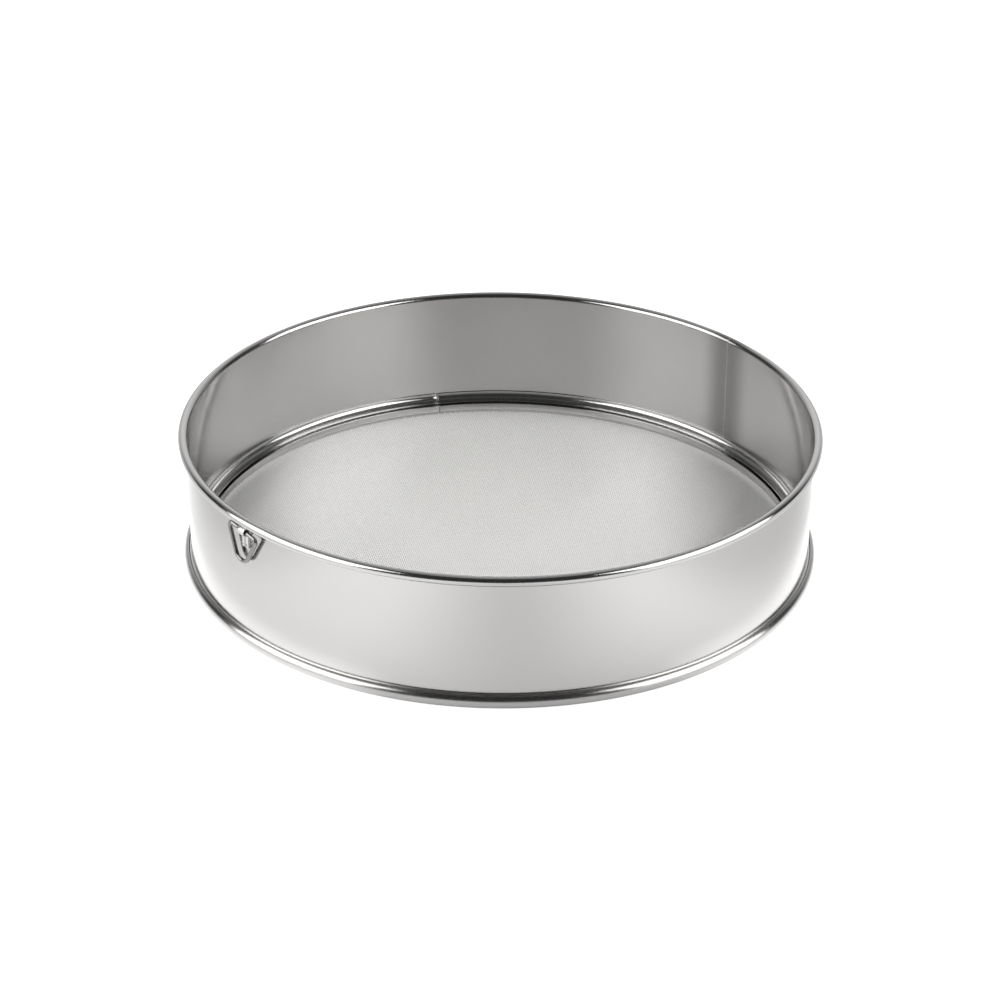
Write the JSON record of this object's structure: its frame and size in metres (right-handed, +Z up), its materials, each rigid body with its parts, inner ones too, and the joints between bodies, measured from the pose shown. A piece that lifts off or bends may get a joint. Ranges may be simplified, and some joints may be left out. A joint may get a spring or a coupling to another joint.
{
  "type": "drum sieve",
  "caption": "Shallow steel drum sieve: a round wall with a rolled rim, woven wire cloth clamped across its foot, and a small wire hanging loop.",
  "frame": {"origin": "centre of the footprint, on the surface that the sieve stands on", "axes": "+Z up along the axis of the drum; the hanging loop faces -Y; +X to the right when seen from the loop's side"},
  "size_m": [0.3, 0.3, 0.066],
  "materials": {
    "drum_sheet": "rolled sheet, polished almost to a mirror, with a faint upright grain",
    "ring_sheet": "spun sheet, polished",
    "hoop_sheet": "rolled sheet, satin",
    "wire_cloth": "plain-woven bright wire",
    "weld": "weld ground flush",
    "rim_wire": "drawn wire, hidden in the rim",
    "hanger": "drawn wire and folded strap, polished"
  },
  "bodies": {
    "drum": {"drum_wall": "drum_sheet", "wall_seam": "weld", "rim_wire": "rim_wire", "clamp_ring": "ring_sheet", "cove_ring": "ring_sheet", "ring_seam": "weld", "mesh_screen": "wire_cloth", "lower_hoop": "hoop_sheet", "hoop_seam": "weld", "hanger_clip": "hanger", "clip_welds": "weld"},
    "loop": {"hanging_loop": "hanger"}
  },
  "joints": [
    {"name": "loop_swing", "type": "hinge", "parent": "drum", "child": "loop", "pos_m": [0, -0.14802, 0.05915], "axis": [-0.9945, 0, 0.1045], "range_deg": [0, 105]}
  ]
}
